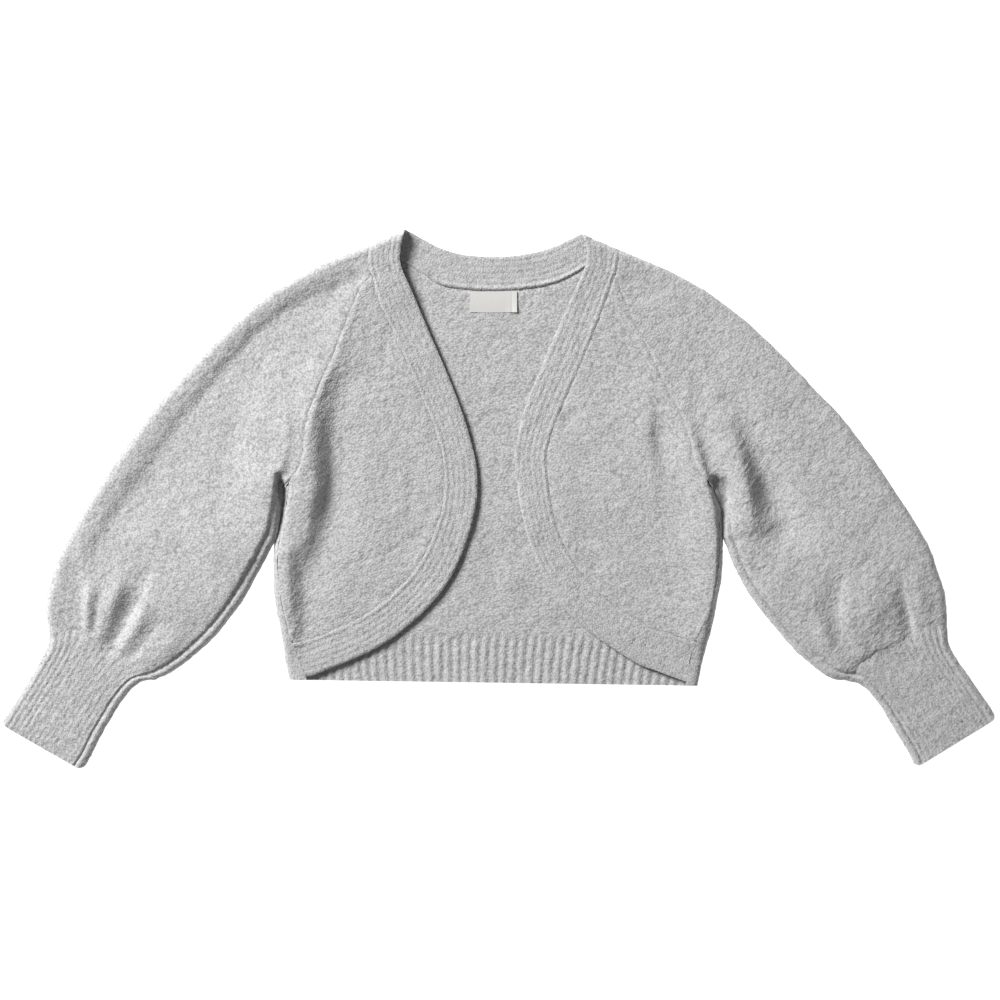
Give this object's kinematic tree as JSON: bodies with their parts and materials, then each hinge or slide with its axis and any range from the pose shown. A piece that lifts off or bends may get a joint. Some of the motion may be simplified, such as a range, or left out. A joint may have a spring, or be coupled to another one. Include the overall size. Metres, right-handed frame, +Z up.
{
  "type": "knitted shrug",
  "caption": "Cropped open-front knitted shrug with raglan balloon sleeves and a ribbed front band, hem and cuffs, laid flat with its front up.",
  "frame": {"origin": "on the surface it lies on, under the middle of its outline", "axes": "+X to the right as seen from above, from sleeve to sleeve; +Y towards the neck; +Z up from the surface"},
  "size_m": [0.997, 0.5412, 0.0218],
  "materials": {
    "knit": "soft, slightly fuzzy light grey plain knit",
    "rib_knit": "soft light grey rib knit",
    "label_cloth": "smooth woven satin label, bare"
  },
  "bodies": {
    "root": {"back_panel": "knit", "back_hem_rib": "rib_knit", "front_left": "knit", "front_right": "knit", "sleeve_left": "knit", "sleeve_right": "knit", "cuff_left": "rib_knit", "cuff_right": "rib_knit", "band_left": "rib_knit", "band_right": "rib_knit", "neckband_back": "rib_knit", "label": "label_cloth"}
  },
  "joints": []
}
